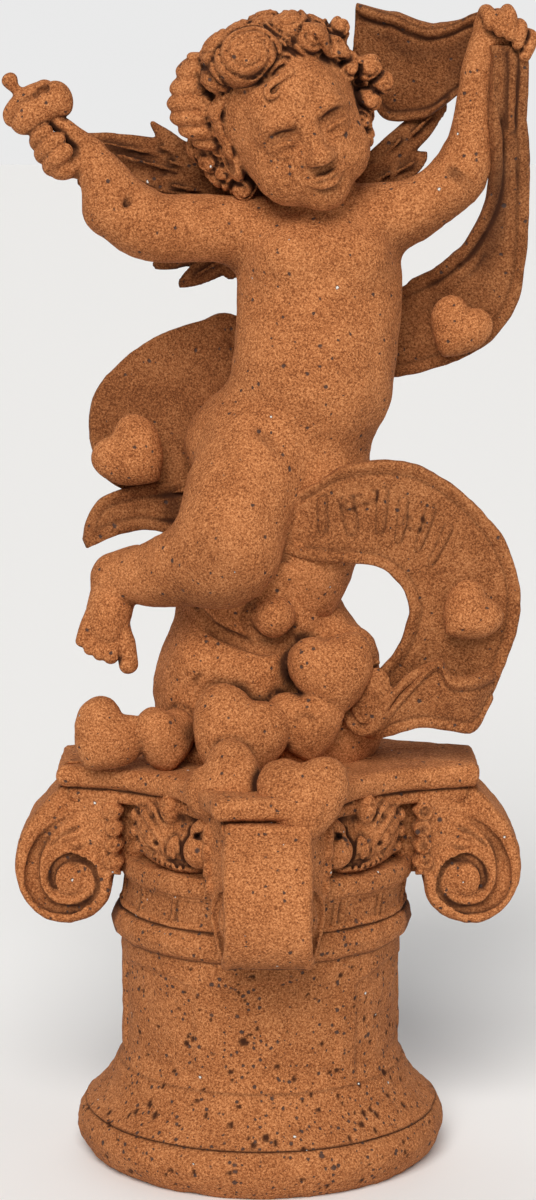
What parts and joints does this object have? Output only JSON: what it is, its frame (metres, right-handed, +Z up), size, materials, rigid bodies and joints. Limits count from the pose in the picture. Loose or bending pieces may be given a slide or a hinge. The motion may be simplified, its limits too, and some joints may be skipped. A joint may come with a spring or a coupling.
{
  "type": "angel figurine",
  "caption": "Cast putto with small wings and a looping ribbon, on a heap of hearts over an Ionic capital and a short column stump.",
  "frame": {"origin": "middle of the underside of the column's base", "axes": "+Z up, -Y to the front that the figure faces, +X to the viewer's right seen from the front"},
  "size_m": [0.2678, 0.2604, 0.5976],
  "materials": {
    "rust_stone": "matt, sandy iron-rust surface with darker recesses and grey-brown pits"
  },
  "bodies": {
    "root": {"angel_figurine": "rust_stone"}
  },
  "joints": []
}
